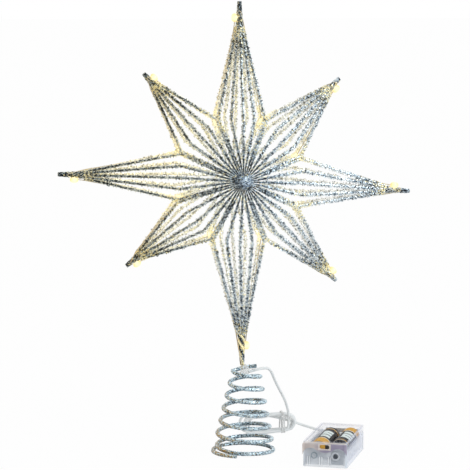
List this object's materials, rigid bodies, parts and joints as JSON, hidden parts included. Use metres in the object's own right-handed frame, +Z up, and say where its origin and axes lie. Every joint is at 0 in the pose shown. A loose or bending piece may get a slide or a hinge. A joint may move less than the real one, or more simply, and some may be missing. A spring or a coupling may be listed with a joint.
{
  "type": "tree topper star",
  "caption": "Pointed star of bent glitter wire with a micro LED string, on a conical spiral coil foot, with a white lead in a tied hank and a clear battery box.",
  "frame": {"origin": "centre of the coil's base ring, on the surface that the topper stands on", "axes": "+Z up along the stem, star in the XZ plane, -Y towards the viewer"},
  "size_m": [0.2804, 0.146, 0.3576],
  "materials": {
    "glitter_wire": "silver glitter on bent wire",
    "coil_glitter": "silver glitter on coiled wire",
    "solder": "solder beads",
    "led_wire": "thin enamelled wire",
    "led_epoxy": "warm white epoxy drops",
    "hot_glue": "milky hot-melt glue",
    "cord_white": "soft white cord sheath",
    "tie_white": "soft white band",
    "clear_plastic": "clear moulded plastic",
    "cell_sleeve": "printed charcoal and amber sleeve",
    "contact_steel": "nickel plated",
    "button_dark": "dark moulded",
    "switch_black": "black moulded",
    "hookup_red": "thin insulated wire"
  },
  "bodies": {
    "star_and_box": {"back_hub": "glitter_wire", "battery_tray": "clear_plastic", "bottom_arm_back_wires": "glitter_wire", "bottom_arm_front_wires": "glitter_wire", "coil_foot": "coil_glitter", "cord_hank": "cord_white", "cord_lower": "cord_white", "cord_upper": "cord_white", "far_contact_spring": "contact_steel", "far_link_plate": "contact_steel", "front_hub": "glitter_wire", "glue_joint": "hot_glue", "hank_tie": "tie_white", "hookup_wires": "hookup_red", "led_drops": "led_epoxy", "led_string_wire": "led_wire", "left_arm_back_wires": "glitter_wire", "left_arm_front_wires": "glitter_wire", "left_cell": "cell_sleeve", "left_tip": "glitter_wire", "lower_left_arm_back_wires": "glitter_wire", "lower_left_arm_front_wires": "glitter_wire", "lower_left_tip": "glitter_wire", "lower_right_arm_back_wires": "glitter_wire", "lower_right_arm_front_wires": "glitter_wire", "lower_right_tip": "glitter_wire", "near_contact_plates": "contact_steel", "near_contact_spring": "contact_steel", "notch_joints": "solder", "right_arm_back_wires": "glitter_wire", "right_arm_front_wires": "glitter_wire", "right_cell": "cell_sleeve", "right_tip": "glitter_wire", "strain_relief": "cord_white", "switch_body": "switch_black", "top_arm_back_wires": "glitter_wire", "top_arm_front_wires": "glitter_wire", "top_tip": "glitter_wire", "twisted_stem": "glitter_wire", "upper_left_arm_back_wires": "glitter_wire", "upper_left_arm_front_wires": "glitter_wire", "upper_left_tip": "glitter_wire", "upper_right_arm_back_wires": "glitter_wire", "upper_right_arm_front_wires": "glitter_wire", "upper_right_tip": "glitter_wire"},
    "lid": {"battery_lid": "clear_plastic"},
    "button": {"power_button": "button_dark"}
  },
  "joints": [
    {"name": "lid_slide", "type": "slide", "parent": "star_and_box", "child": "lid", "axis": [-0.4067, -0.9135, 0], "range_m": [0, 0.068]},
    {"name": "button_press", "type": "slide", "parent": "star_and_box", "child": "button", "axis": [0.4067, 0.9135, 0], "range_m": [0, 0.0012], "stiffness_N_per_m": 400}
  ]
}
